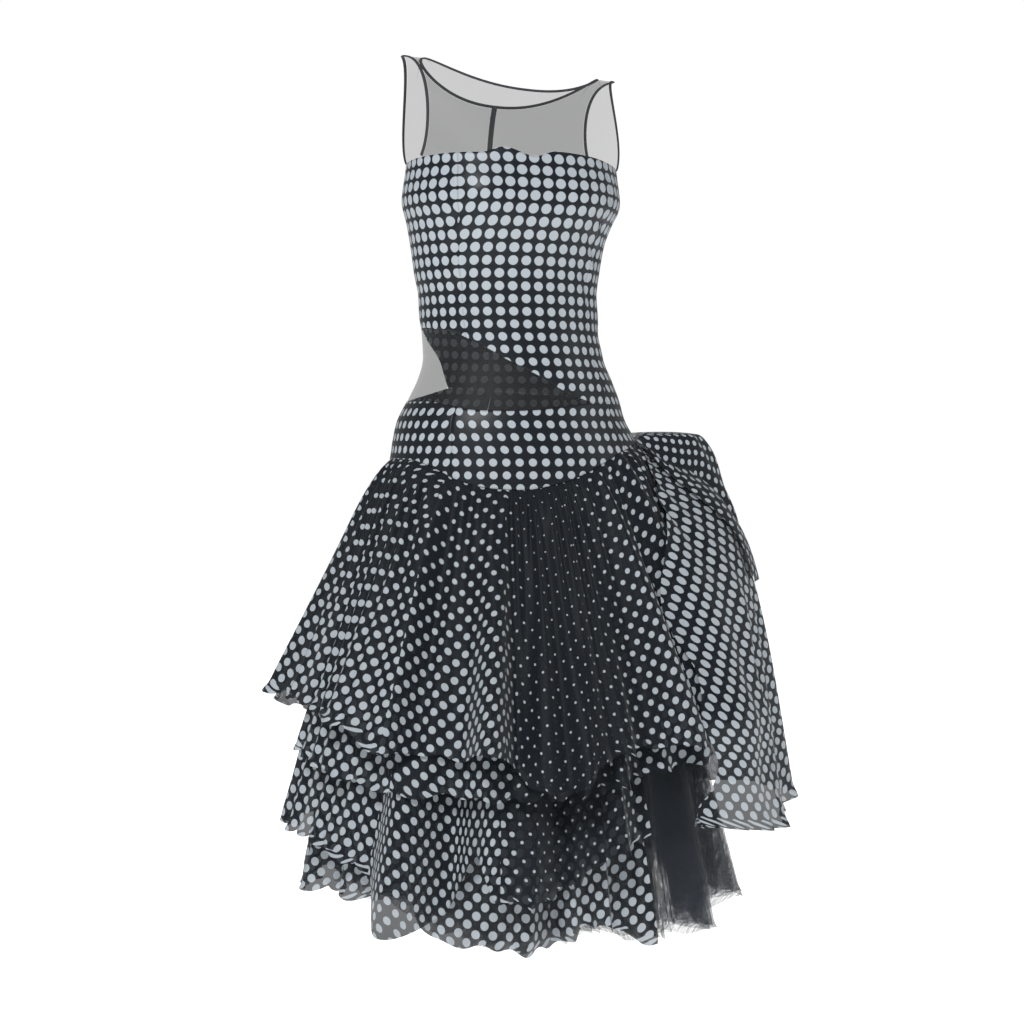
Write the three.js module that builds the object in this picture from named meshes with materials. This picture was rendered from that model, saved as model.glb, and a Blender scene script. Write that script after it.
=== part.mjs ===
// A sleeveless polka-dot flounced party dress in its worn, open form: sheer yoke, fitted satin bodice with a
// sheer waist inset, hip yoke, gathered organza tiers over a net petticoat, a drape and a puff at one hip.
// Millimetres, +Z up, front towards -Y, the wearer's left towards +X. The origin lies midway between the two
// shoulder straps, level with the higher one. Angles go round the figure in degrees: 0 is the centre front,
// 90 the wearer's left side, -90 the right side, 180 the centre back.
import * as THREE from "three";

// Driving dimensions
const CLOTH = 1.2; // wall of every cloth piece
const SEAM = 0.5; // gap between two pieces at a seam
const RIDGE = 0.5; // distance of the front's and the back's edges from the shoulder line
const STEP = 11; // widest angle between two columns of a fitted panel
const SKIRT_STEP = 9; // widest angle between two columns of a gathered panel
const PRINCESS = 45; // angle of the princess seams
const SIDE_BACK = 135; // angle of the side back seams
const ZIP_WIDTH = 5;
const ZIP_GAP = 1.6; // half the angle that the zip takes at the centre back
const BINDING = { width: 4, thickness: 2 };
const SHOULDER_SLOPE = -0.043; // rise of the shoulder line per millimetre towards the wearer's left
const SHOULDER_DROP = -4.2; // height of the shoulder line at the middle
const STRAP = { outer: 145, inner: 116 };
const NECK_DIP = 35; // depth of the boat neck under the shoulder line
const ARMHOLE = { foot: 70, bowRight: 9, bowLeft: 15 }; // angle of its foot, and how far each side curves in
const CUP = { at: 38, spread: 24, height: -178, rise: 42, out: 17 };

// Sections down the figure: half width, how far the middle leans to +X, depth ahead of and behind the middle
const FORM = [
  { z: -545, half: 174, mid: 11, ahead: 125, behind: 132 },
  { z: -500, half: 167, mid: 10.8, ahead: 121, behind: 128 },
  { z: -475, half: 159, mid: 6.7, ahead: 117, behind: 123 },
  { z: -450, half: 149, mid: 3, ahead: 111, behind: 116 },
  { z: -423, half: 138, mid: 6, ahead: 103, behind: 106 },
  { z: -400, half: 128, mid: 7, ahead: 96, behind: 96 },
  { z: -370, half: 118, mid: 4, ahead: 90, behind: 86 },
  { z: -336, half: 116.5, mid: 0, ahead: 87, behind: 81 },
  { z: -294, half: 117, mid: -2.9, ahead: 88, behind: 82 },
  { z: -265, half: 121, mid: -4.2, ahead: 91, behind: 85 },
  { z: -227, half: 127, mid: -3.6, ahead: 98, behind: 89 },
  { z: -205, half: 133, mid: -1.5, ahead: 103, behind: 91 },
  { z: -174, half: 143, mid: 1.9, ahead: 106, behind: 94 },
  { z: -127, half: 138, mid: 2.6, ahead: 100, behind: 92 },
  { z: -90, half: 140, mid: 2.6, ahead: 95, behind: 88 },
];

// Top edge of the satin: a small sweetheart at the front, nearly level at the back
const BODICE_TOP = [
  { at: -180, z: -136 },
  { at: -110, z: -134 },
  { at: -90, z: -129 },
  { at: -45, z: -125.5 },
  { at: -31, z: -126 },
  { at: -19, z: -119 },
  { at: -3, z: -129.5 },
  { at: 9, z: -122 },
  { at: 31, z: -124 },
  { at: 50, z: -128 },
  { at: 90, z: -134 },
  { at: 180, z: -136 },
];

// The sheer waist inset runs from a point at the front, round the right side, to a point at the back
const INSET_TOP = [
  { at: -152, z: -408 },
  { at: -128, z: -354 },
  { at: -105, z: -336 },
  { at: -90, z: -335 },
  { at: -56, z: -342 },
  { at: -35, z: -359 },
  { at: -17, z: -380 },
  { at: 1, z: -400 },
  { at: 14, z: -417 },
  { at: 30, z: -430 },
];
const INSET_FOOT = [
  { at: -152, z: -408 },
  { at: -130, z: -420 },
  { at: -102, z: -428 },
  { at: -66, z: -429 },
  { at: -33, z: -440 },
  { at: -17, z: -441 },
  { at: 1, z: -439 },
  { at: 12, z: -435 },
  { at: 30, z: -430 },
];
const INSET_TIP = { front: { at: 30, z: -430 }, back: { at: -152, z: -408 } };
const BACK_WAIST = -412; // height at the centre back of the line through the inset's two points
const UPPER = [0, 0.13, 0.3, 0.5, 0.75, 1]; // rows from the satin's top to that line
const LOWER = [0, 0.5, 1]; // rows from there to the hip seam

// Curved seam where the hip yoke meets the gathered skirt
const HIP_SEAM = [
  { at: -180, z: -497 },
  { at: -135, z: -503 },
  { at: -90, z: -500 },
  { at: -69, z: -501 },
  { at: -56, z: -508 },
  { at: -40, z: -526 },
  { at: -26, z: -535 },
  { at: -13, z: -537 },
  { at: 5, z: -528 },
  { at: 15, z: -518 },
  { at: 26, z: -505 },
  { at: 40, z: -491 },
  { at: 71, z: -480 },
  { at: 100, z: -478 },
  { at: 140, z: -484 },
  { at: 180, z: -497 },
];

// The skirt's layers, from the outside in. Each leaves the hip seam at its place in the stack, puffs out over
// the gathers within a short fall, then flares. Folds: how far each ridge or valley stands out 300 mm down,
// and the height of the hem there. Panels: where each begins and ends.
const LAYERS = [
  {
    name: "tier_1",
    cloth: "organza",
    stack: 0,
    puff: 10,
    fall: 18,
    flare: 0.435,
    rows: [0, 0.07, 0.2, 0.42, 0.7, 1],
    folds: [
      { at: -180, out: 6, hem: -852 },
      { at: -165, out: -8, hem: -838 },
      { at: -150, out: 10, hem: -848 },
      { at: -136, out: -8, hem: -842 },
      { at: -120, out: 4, hem: -822 },
      { at: -103, out: 10, hem: -792 },
      { at: -86, out: 0, hem: -789 },
      { at: -70, out: 2, hem: -800 },
      { at: -57, out: 4, hem: -813 },
      { at: -47, out: 9, hem: -838 },
      { at: -41, out: -12, hem: -838 },
      { at: -31, out: -9, hem: -845 },
      { at: -22, out: 22, hem: -828 },
      { at: -17, out: -8, hem: -862 },
      { at: -8, out: 2, hem: -884 },
      { at: 2, out: 4, hem: -846 },
      { at: 12, out: -4, hem: -838 },
      { at: 23, out: 17, hem: -832 },
      { at: 30, out: -13, hem: -828 },
      { at: 41, out: 6, hem: -818 },
      { at: 58, out: -16, hem: -822 },
      { at: 76, out: -6, hem: -830 },
      { at: 94, out: -16, hem: -836 },
      { at: 112, out: 0, hem: -846 },
      { at: 128, out: -10, hem: -850 },
      { at: 146, out: 9, hem: -846 },
      { at: 163, out: -8, hem: -840 },
      { at: 180, out: 6, hem: -852 },
    ],
    panels: [
      { name: "back_right", from: -180, to: -120 },
      { name: "side_right", from: -120, to: -47 },
      { name: "front_right", from: -47, to: -20 },
      { name: "centre", from: -20, to: 2 },
      { name: "front_left", from: 2, to: 41 },
      { name: "side_left", from: 41, to: 112 },
      { name: "back_left", from: 112, to: 180 },
    ],
  },
  {
    name: "tier_2",
    cloth: "organza",
    stack: -2,
    puff: 8,
    fall: 18,
    flare: 0.36,
    rows: [0, 0.1, 0.35, 0.7, 1],
    folds: [
      { at: -88, out: -6, hem: -850 },
      { at: -73, out: 4, hem: -862 },
      { at: -60, out: -4, hem: -876 },
      { at: -47, out: 2, hem: -886 },
      { at: -34, out: -6, hem: -888 },
      { at: -20, out: 2, hem: -890 },
      { at: -8, out: -4, hem: -892 },
      { at: 4, out: 2, hem: -884 },
      { at: 16, out: -5, hem: -872 },
      { at: 29, out: 3, hem: -864 },
      { at: 41, out: -3, hem: -858 },
    ],
    panels: [
      { name: "side_right", from: -88, to: -47 },
      { name: "front", from: -47, to: 2 },
      { name: "front_left", from: 2, to: 41 },
    ],
  },
  {
    name: "tier_3",
    cloth: "organza",
    stack: -4,
    puff: 6,
    fall: 18,
    flare: 0.29,
    rows: [0, 0.14, 0.42, 0.72, 1],
    folds: [
      { at: -180, out: -6, hem: -1000 },
      { at: -164, out: 7, hem: -1008 },
      { at: -148, out: -6, hem: -994 },
      { at: -134, out: 7, hem: -986 },
      { at: -118, out: -4, hem: -970 },
      { at: -104, out: 0, hem: -962 },
      { at: -90, out: -1, hem: -952 },
      { at: -76, out: 4, hem: -954 },
      { at: -64, out: -3, hem: -972 },
      { at: -53, out: 2, hem: -984 },
      { at: -44, out: 12, hem: -1038 },
      { at: -35, out: -8, hem: -1030 },
      { at: -27, out: -2, hem: -958 },
      { at: -21, out: 6, hem: -1004 },
      { at: -13, out: 1, hem: -1009 },
      { at: -5, out: -5, hem: -996 },
      { at: 6, out: 4, hem: -960 },
      { at: 17, out: -4, hem: -952 },
      { at: 112, out: -14, hem: -990 },
      { at: 129, out: 2, hem: -1000 },
      { at: 146, out: -8, hem: -994 },
      { at: 163, out: 6, hem: -1006 },
      { at: 180, out: -6, hem: -1000 },
    ],
    panels: [
      { name: "back_right", from: -180, to: -118 },
      { name: "side_right", from: -118, to: -53 },
      { name: "front_right", from: -53, to: -21 },
      { name: "front", from: -21, to: 17 },
      { name: "back_left", from: 112, to: 180 },
    ],
  },
  {
    name: "tier_4",
    cloth: "organza",
    stack: -6,
    puff: 4,
    fall: 18,
    flare: 0.205,
    rows: [0, 0.16, 0.45, 0.75, 1],
    folds: [
      { at: -180, out: 5, hem: -1052 },
      { at: -165, out: -5, hem: -1040 },
      { at: -150, out: 6, hem: -1050 },
      { at: -135, out: -5, hem: -1044 },
      { at: -120, out: 4, hem: -1046 },
      { at: -105, out: -2, hem: -1038 },
      { at: -90, out: 4, hem: -1032 },
      { at: -76, out: -3, hem: -1026 },
      { at: -64, out: 3, hem: -1022 },
      { at: -52, out: -6, hem: -1022 },
      { at: -43, out: -2, hem: -1040 },
      { at: -34, out: 4, hem: -1064 },
      { at: -26, out: -3, hem: -1068 },
      { at: -17, out: 4, hem: -1072 },
      { at: -8, out: -3, hem: -1072 },
      { at: 1, out: 3, hem: -1048 },
      { at: 9, out: -3, hem: -1060 },
      { at: 17, out: 4, hem: -1076 },
      { at: 112, out: -12, hem: -1052 },
      { at: 129, out: -2, hem: -1042 },
      { at: 146, out: -7, hem: -1050 },
      { at: 163, out: 4, hem: -1044 },
      { at: 180, out: 5, hem: -1052 },
    ],
    panels: [
      { name: "back_right", from: -180, to: -120 },
      { name: "side_right", from: -120, to: -52 },
      { name: "front_right", from: -52, to: -8 },
      { name: "front", from: -8, to: 17 },
      { name: "back_left", from: 112, to: 180 },
    ],
  },
  {
    name: "petticoat",
    cloth: "net",
    stack: -8,
    puff: 2,
    fall: 18,
    flare: 0.157,
    rows: [0, 0.2, 0.6, 1],
    folds: [
      { at: -180, out: 3, hem: -1040 },
      { at: -150, out: -3, hem: -1036 },
      { at: -122, out: 3, hem: -1034 },
      { at: -96, out: -3, hem: -1022 },
      { at: -70, out: 2, hem: -1022 },
      { at: -44, out: -3, hem: -1056 },
      { at: -18, out: 2, hem: -1078 },
      { at: 8, out: -3, hem: -1068 },
      { at: 20, out: 3, hem: -1084 },
      { at: 33, out: -2, hem: -1087 },
      { at: 46, out: 6, hem: -1090 },
      { at: 58, out: -1, hem: -1086 },
      { at: 69, out: 12, hem: -1072 },
      { at: 84, out: -2, hem: -1060 },
      { at: 104, out: 2, hem: -1046 },
      { at: 128, out: -3, hem: -1034 },
      { at: 154, out: 3, hem: -1036 },
      { at: 180, out: 3, hem: -1040 },
    ],
    panels: [
      { name: "right", from: -180, to: -96 },
      { name: "front_right", from: -96, to: -18 },
      { name: "front_left", from: -18, to: 69 },
      { name: "back_left", from: 69, to: 180 },
    ],
  },
];

// The side drape hangs outside the tiers from the left hip. Its front edge lies along the outer tier and
// falls straight from that tier's hem. From there the drape swings out to its own fall.
const DRAPE = {
  puff: 128,
  fall: 60,
  flare: 0.15,
  stack: 1.8,
  clear: 8, // how far its front edge lies off the outer tier
  turn: 30, // degrees over which it swings out
  straightFrom: 330, // how far down the front edge begins to fall straight
  backEdge: { top: 108, foot: 138 },
  columns: 11,
  rows: [0, 0.05, 0.13, 0.26, 0.45, 0.72, 1],
  folds: { every: 24, out: 7 },
  frontEdge: [
    { down: 0, at: 66 },
    { down: 0.12, at: 48 },
    { down: 0.25, at: 36 },
    { down: 0.42, at: 30 },
    { down: 0.6, at: 33 },
    { down: 0.72, at: 31 },
    { down: 0.83, at: 34 },
    { down: 1, at: 27 },
  ],
  hem: [
    { at: 27, z: -940 },
    { at: 50, z: -957 },
    { at: 62, z: -952 },
    { at: 72, z: -936 },
    { at: 92, z: -948 },
    { at: 114, z: -962 },
    { at: 138, z: -972 },
  ],
};

// The puff over the drape: how far it stands out from the hip, and its height over the hip seam
const PUFF = {
  from: 62,
  to: 165,
  turn: 26, // degrees over which it comes out from the hip at each end
  columns: 14,
  folds: { every: 27, out: 6 },
  section: [
    { out: 4, up: 2 },
    { out: 20, up: 9 },
    { out: 56, up: 13 },
    { out: 92, up: 10 },
    { out: 109, up: -8 },
    { out: 125, up: -46 },
    { out: 146, up: -98 },
    { out: 157, up: -145 },
    { out: 156, up: -176 },
  ],
};

// Finishes
const FINISHES = {
  satin: { color: 0x50575d, roughness: 0.5, metalness: 0 },
  organza: { color: 0x666e74, roughness: 0.6, metalness: 0 },
  mesh: { color: 0x1c1f22, roughness: 0.75, metalness: 0 },
  net: { color: 0x20262d, roughness: 0.8, metalness: 0 },
  binding: { color: 0x0e1013, roughness: 0.6, metalness: 0 },
  zip: { color: 0x14171a, roughness: 0.5, metalness: 0 },
};

const rad = THREE.MathUtils.degToRad;
const dress = new THREE.Group();
dress.name = "dress";

// A smooth value from a table sorted by one column: a cubic whose slope is level at each high and low row.
function between(rows, key, value, at) {
  const span = rows.map((row, i) => (i ? row[key] - rows[i - 1][key] : 0));
  const rise = rows.map((row, i) => (i ? (row[value] - rows[i - 1][value]) / span[i] : 0));
  const slopeAt = (i) => {
    if (i === 0) return rise[1];
    if (i === rows.length - 1) return rise[i];
    return rise[i] * rise[i + 1] <= 0 ? 0 : 2 / (1 / rise[i] + 1 / rise[i + 1]);
  };
  let i = rows.findIndex((row, k) => k > 0 && at <= row[key]);
  if (i < 0) i = rows.length - 1;
  const t = Math.min(Math.max((at - rows[i - 1][key]) / span[i], 0), 1);
  const low = rows[i - 1][value] * (1 + 2 * t) * (1 - t) ** 2 + span[i] * slopeAt(i - 1) * t * (1 - t) ** 2;
  return low + rows[i][value] * t * t * (3 - 2 * t) - span[i] * slopeAt(i) * t * t * (1 - t);
}

// Evenly spaced values from one end to the other that also pass through the wanted values.
function stepsBetween(from, to, widest, wanted = []) {
  const stops = [from, ...wanted.filter((w) => w > from + 1 && w < to - 1), to];
  const out = [from];
  for (let i = 1; i < stops.length; i++) {
    const count = Math.max(1, Math.ceil((stops[i] - stops[i - 1]) / widest));
    for (let k = 1; k <= count; k++) out.push(stops[i - 1] + ((stops[i] - stops[i - 1]) * k) / count);
  }
  return out;
}

// The figure's section at a height.
function sectionAt(z) {
  const value = (name) => between(FORM, "z", name, z);
  return { half: value("half"), mid: value("mid"), ahead: value("ahead"), behind: value("behind") };
}

// A point on the fitted form: an upright half ellipse ahead and another behind, with two shaped cups.
function formPoint(angle, z, out = 0) {
  const { half, mid, ahead, behind } = sectionAt(z);
  const cup = (side) =>
    Math.exp(-(((angle - side * CUP.at) / CUP.spread) ** 2) - ((z - CUP.height) / CUP.rise) ** 2);
  const stand = out + CUP.out * (cup(1) + cup(-1));
  const depth = Math.cos(rad(angle)) > 0 ? ahead : behind;
  const x = mid + (half + out) * Math.sin(rad(angle));
  return new THREE.Vector3(x, -(depth + stand) * Math.cos(rad(angle)), z);
}

const shoulderAt = (x) => SHOULDER_DROP + SHOULDER_SLOPE * x;

// Depth of the chest or shoulder blades at a place under the shoulder line: it falls away as a square root
// near the shoulder line, and as an ellipse towards the arms.
function chestDepth(x, z) {
  const drop = Math.max(shoulderAt(x) - z, 0) / 1000;
  const width = 138 + 60 * Math.max(0, 1 - (drop / 0.13) ** 2);
  const fall = Math.sqrt(Math.max(0, 1 - (x / width) ** 2));
  return (1000 * Math.sqrt(0.1 * drop) * fall) / (1 + 1.1 * drop);
}

// The neckline's height: a shallow boat neck that starts at the inner edges of the straps.
function neckAt(x) {
  const u = Math.min(Math.abs(x) / STRAP.inner, 1);
  return shoulderAt(x) - NECK_DIP * (1 - u ** 2.2);
}

// A cloth wall from a grid of points on its middle surface, columns left to right seen from outside and rows
// from the top down. Cells for which kept() is false are left open; points that coincide are joined.
function wall(grid, thickness = CLOTH, kept = () => true) {
  const ids = new Map();
  const points = [];
  const idOf = (p) => {
    const key = [p.x, p.y, p.z].map((v) => Math.round(v * 1000)).join();
    if (!ids.has(key)) {
      ids.set(key, points.length);
      points.push(p);
    }
    return ids.get(key);
  };
  const faces = [];
  const addFace = (a, b, c) => {
    if (a !== b && b !== c && c !== a) faces.push([a, b, c]);
  };
  for (let c = 0; c + 1 < grid.length; c++) {
    for (let r = 0; r + 1 < grid[c].length; r++) {
      if (!kept(c, r)) continue;
      const corner = [grid[c][r], grid[c][r + 1], grid[c + 1][r], grid[c + 1][r + 1]].map(idOf);
      addFace(corner[0], corner[1], corner[2]);
      addFace(corner[2], corner[1], corner[3]);
    }
  }
  const normals = points.map(() => new THREE.Vector3());
  const edges = new Set();
  for (const face of faces) {
    const [a, b, c] = face.map((i) => points[i]);
    const turn = b.clone().sub(a).cross(c.clone().sub(a));
    face.forEach((i) => normals[i].add(turn));
    face.forEach((i, k) => edges.add(i + "," + face[(k + 1) % 3]));
  }
  const skin = (side) =>
    points.map((p, i) => p.clone().addScaledVector(normals[i].clone().normalize(), (side * thickness) / 2));
  const vertices = [...skin(1), ...skin(-1)];
  const inner = points.length;
  const triangles = [];
  for (const [a, b, c] of faces) triangles.push(a, b, c, a + inner, c + inner, b + inner);
  for (const edge of edges) {
    const [a, b] = edge.split(",").map(Number);
    if (edges.has(b + "," + a)) continue;
    triangles.push(b, a, a + inner, b, a + inner, b + inner);
  }
  const geometry = new THREE.BufferGeometry();
  const flat = vertices.flatMap((v) => [v.x, v.y, v.z]);
  geometry.setAttribute("position", new THREE.Float32BufferAttribute(flat, 3));
  geometry.setIndex(triangles);
  geometry.computeVertexNormals();
  return geometry;
}

// Adds one named piece to the dress.
function addPiece(name, finish, geometry) {
  const mesh = new THREE.Mesh(geometry, new THREE.MeshStandardMaterial(FINISHES[finish]));
  mesh.name = name;
  dress.add(mesh);
}

// Half of a seam's gap as an angle on the fitted form.
const SEAM_ANGLE = THREE.MathUtils.radToDeg(SEAM / 2 / 115);

const bodiceTop = (at) => between(BODICE_TOP, "at", "z", at);
const hipSeam = (at) => between(HIP_SEAM, "at", "z", at);

// An edge of the inset's bay; past the inset's two points both edges run together to the centre back.
function bayEdge(rows, at) {
  const { front, back } = INSET_TIP;
  if (at >= front.at) return THREE.MathUtils.mapLinear(at, front.at, 180, front.z, BACK_WAIST);
  if (at <= back.at) return THREE.MathUtils.mapLinear(at, back.at, -180, back.z, BACK_WAIST);
  return between(rows, "at", "z", at);
}
const insetTop = (at) => bayEdge(INSET_TOP, at);
const insetFoot = (at) => bayEdge(INSET_FOOT, at);

// Heights of the fitted panels' rows at an angle, above the bay and below it.
const upperRows = (at) => UPPER.map((v) => THREE.MathUtils.lerp(bodiceTop(at), insetTop(at), v));
const lowerRows = (at) => LOWER.map((v) => THREE.MathUtils.lerp(insetFoot(at), hipSeam(at), v));

// The columns of a fitted panel, one of them at each point of the inset.
function fittedColumns(from, to) {
  const tips = [INSET_TIP.back.at, INSET_TIP.front.at];
  return stepsBetween(from + SEAM_ANGLE, to - SEAM_ANGLE, STEP, tips);
}

// A fitted satin panel between two angles, whole or only above or below the inset's bay.
function satinPanel(name, from, to, part = "whole") {
  const grid = fittedColumns(from, to).map((at) => {
    const upper = part === "below" ? [] : upperRows(at);
    const lower = part === "above" ? [] : lowerRows(at);
    return [...upper, ...lower].map((z) => formPoint(at, z));
  });
  const bay = part === "whole" ? UPPER.length - 1 : -1;
  addPiece(name, "satin", wall(grid, CLOTH, (c, r) => r !== bay));
}

// The fitted satin panels, with the princess, side back and centre back seams between them
function addSatin() {
  satinPanel("front_panel", -PRINCESS, PRINCESS);
  satinPanel("bodice_side_right", -SIDE_BACK, -PRINCESS, "above");
  satinPanel("hip_side_right", -SIDE_BACK, -PRINCESS, "below");
  satinPanel("side_panel_left", PRINCESS, SIDE_BACK);
  satinPanel("back_panel_left", SIDE_BACK, 180 - ZIP_GAP);
  satinPanel("back_panel_right", ZIP_GAP - 180, -SIDE_BACK);
}

// The sheer waist inset, its edges a seam's gap inside the satin
function addInset() {
  const inset = 1.5; // degrees kept clear of the two points
  const [from, to] = [INSET_TIP.back.at + inset, INSET_TIP.front.at - inset];
  const seams = [ZIP_GAP - 180, -SIDE_BACK, -PRINCESS, PRINCESS];
  const inner = seams.slice(1).flatMap((seam, i) => fittedColumns(seams[i], seam));
  const columns = [from, ...inner.filter((at) => at > from + 2 && at < to - 2), to];
  const grid = columns.map((at) => {
    const [top, foot] = [insetTop(at) - SEAM, insetFoot(at) + SEAM];
    const middle = (top + foot) / 2;
    const half = Math.max(top - foot, 0.8) / 2;
    return [1, 0, -1].map((v) => formPoint(at, middle + v * half));
  });
  addPiece("waist_inset", "mesh", wall(grid));
}

// A point of the neck edge, and how far in from it a point of the yoke lies, measured across the edge on the
// surface. The surface is taken as a height over the plan, because it lies flat at the shoulders.
function neckPoint(side, x, inwards) {
  const edgeAt = (at) => {
    const z = neckAt(at);
    return new THREE.Vector3(at, -side * (chestDepth(at, z) + RIDGE), z);
  };
  const heightAt = (px, py) => {
    const width = (drop) => 138 + 60 * Math.max(0, 1 - (drop / 0.13) ** 2);
    let drop = 0;
    for (let k = 0; k < 6; k++) {
      const fall = Math.sqrt(1 - (px / width(drop)) ** 2);
      drop = ((Math.max(Math.abs(py) - RIDGE, 0) / 1000 / fall) * (1 + 1.1 * drop)) ** 2 / 0.1;
    }
    return shoulderAt(px) - 1000 * drop;
  };
  const edge = edgeAt(x);
  if (inwards === 0) return edge;
  const reach = STRAP.inner;
  const along = edgeAt(Math.min(x + 0.5, reach)).sub(edgeAt(Math.max(x - 0.5, -reach)));
  const away = new THREE.Vector2(along.y, -along.x).normalize();
  if (away.x * edge.x + away.y * edge.y < 0) away.negate();
  const rise = heightAt(edge.x + away.x, edge.y + away.y) - heightAt(edge.x, edge.y);
  const step = inwards / Math.hypot(1, rise);
  const [px, py] = [edge.x + away.x * step, edge.y + away.y * step];
  return new THREE.Vector3(px, py, heightAt(px, py));
}

// A yoke's middle surface between the satin and its bound edges. Side is 1 at the front, -1 at the back;
// across runs from -1 at the right armhole to 1 at the left one, and up from 0 at the satin to 1 at the top.
function yokePoint(side, across, up) {
  const margin = BINDING.width + SEAM;
  const bare = STRAP.inner / STRAP.outer;
  const size = Math.abs(across);
  const sign = Math.sign(across || 1);
  const foot = side > 0 ? across * ARMHOLE.foot : sign * (180 - size * ARMHOLE.foot);
  const base = formPoint(foot, bodiceTop(foot) + SEAM);
  let topX = sign * THREE.MathUtils.mapLinear(size, bare, 1, STRAP.inner + margin, STRAP.outer - margin);
  let topDrop = 0;
  if (size < bare) {
    const top = neckPoint(side, (across / bare) * STRAP.inner, margin);
    topX = top.x;
    topDrop = Math.max(shoulderAt(top.x) - top.z, 0);
  }
  const bow = (across > 0 ? ARMHOLE.bowLeft : ARMHOLE.bowRight) * 4 * up * (1 - up) * size ** 3;
  const x = THREE.MathUtils.lerp(base.x, topX, up) - sign * bow;
  const footDrop = shoulderAt(base.x) - base.z;
  const root = THREE.MathUtils.lerp(Math.sqrt(footDrop), Math.sqrt(topDrop), up);
  const z = shoulderAt(x) - root ** 2;
  const misfit = Math.abs(base.y) - chestDepth(base.x, base.z);
  const depth = chestDepth(x, z) + misfit * (1 - up) ** 2 + RIDGE * up;
  return new THREE.Vector3(x, -side * depth, z);
}

const YOKE_ROWS = [1, 0.85, 0.65, 0.4, 0.18, 0];
const YOKE_ZIP_EDGE = 0.024; // where the yoke's backs end at the zip, as a share of the way to the armhole

// The shares of the way to the armhole at which the yoke's columns stand, from the middle out
const STRAP_SHARES = [STRAP.inner / STRAP.outer + 0.0001, (1 + STRAP.inner / STRAP.outer) / 2, 1];
const BACK_SHARES = [YOKE_ZIP_EDGE, 0.2, 0.42, 0.62, 0.72];
const frontShares = () => {
  const columns = fittedColumns(-PRINCESS, PRINCESS);
  return [-0.72, ...columns.map((at) => at / ARMHOLE.foot), 0.72];
};

// The sheer yoke: one front, and two backs that meet at the zip
function addYoke() {
  const strip = (side, shares) =>
    wall(shares.map((share) => YOKE_ROWS.map((up) => yokePoint(side, share, up))));
  const outwards = [...BACK_SHARES, ...STRAP_SHARES];
  const mirrored = STRAP_SHARES.map((share) => -share).toReversed();
  addPiece("yoke_front", "mesh", strip(1, [...mirrored, ...frontShares(), ...STRAP_SHARES]));
  addPiece("yoke_back_left", "mesh", strip(-1, outwards.toReversed()));
  addPiece("yoke_back_right", "mesh", strip(-1, outwards.map((share) => -share)));
}

// Bound edges: narrow strips that carry the yoke's surface on to the neckline and armhole edges
function addBindings() {
  const bare = STRAP.inner / STRAP.outer;
  const neckColumn = (side, share) => {
    const x = (share / bare) * STRAP.inner;
    return [neckPoint(side, x, 0), neckPoint(side, x, BINDING.width)];
  };
  const front = [-bare, ...frontShares(), bare].map((share) => neckColumn(1, share));
  const half = [...BACK_SHARES, bare];
  addPiece("neck_binding_front", "binding", wall(front, BINDING.thickness));
  const left = half.toReversed().map((share) => neckColumn(-1, share));
  const right = half.map((share) => neckColumn(-1, -share));
  addPiece("neck_binding_back_left", "binding", wall(left, BINDING.thickness));
  addPiece("neck_binding_back_right", "binding", wall(right, BINDING.thickness));
  for (const [name, sign] of [
    ["armhole_binding_right", -1],
    ["armhole_binding_left", 1],
  ]) {
    const pair = (side, up) => {
      const edge = yokePoint(side, sign, up);
      const outwards = edge.clone().sub(yokePoint(side, sign * 0.96, up));
      const above = yokePoint(side, sign, Math.min(up + 0.02, 1));
      const along = above.sub(yokePoint(side, sign, Math.max(up - 0.02, 0)));
      outwards.addScaledVector(along, -outwards.dot(along) / along.lengthSq()).normalize();
      return [SEAM, SEAM + BINDING.width].map((d) => edge.clone().addScaledVector(outwards, d));
    };
    const front = YOKE_ROWS.map((up) => pair(1, up));
    const back = YOKE_ROWS.map((up) => pair(-1, up));
    const path = [...front.toReversed(), ...back];
    const columns = [0, 1].map((k) => path.map((row) => row[k]));
    addPiece(name, "binding", wall(sign > 0 ? columns : columns.toReversed(), BINDING.thickness));
  }
}

// The concealed zip down the centre back, with its closed slider under the neck edge
function addZip() {
  const neck = neckPoint(-1, 0, 0);
  const yoke = YOKE_ROWS.map((up) => {
    const [left, right] = [1, -1].map((side) => yokePoint(-1, side * YOKE_ZIP_EDGE, up));
    return left.add(right).multiplyScalar(0.5);
  });
  const satin = [...upperRows(180), ...lowerRows(180).slice(1)].map((z) => formPoint(180, z));
  const line = [neck, ...yoke, ...satin];
  const beside = (p, side) => new THREE.Vector3(p.x + (side * ZIP_WIDTH) / 2, p.y, p.z);
  const grid = [1, -1].map((side) => line.map((p) => beside(p, side)));
  addPiece("back_zip", "zip", wall(grid));
  const slider = new THREE.Shape();
  slider.absellipse(0, 0, 2.6, 5.5, 0, 2 * Math.PI);
  const tab = new THREE.ExtrudeGeometry(slider, { depth: 1.6, bevelEnabled: false, curveSegments: 6 });
  tab.deleteAttribute("uv");
  tab.rotateX(Math.PI / 2);
  const place = yoke[1];
  tab.translate(place.x, place.y + CLOTH + 4, place.z);
  addPiece("zip_slider", "zip", tab);
}

// How far a gathered layer stands out from the form: it leaves the hip seam at its place in the stack, puffs
// out over the gathers, then flares in folds.
function standOut(layer, s, fold) {
  return layer.stack + layer.puff * (1 - Math.exp(-s / layer.fall)) + layer.flare * s + (fold * s) / 300;
}

const skirtTop = (at) => hipSeam(at) - SEAM - CLOTH;

// A point standing out from the form's section at the hip seam.
function hipPoint(at, out, z) {
  const { half, mid, ahead, behind } = sectionAt(hipSeam(at));
  const depth = Math.cos(rad(at)) > 0 ? ahead : behind;
  return new THREE.Vector3(mid + (half + out) * Math.sin(rad(at)), -(depth + out) * Math.cos(rad(at)), z);
}

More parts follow.
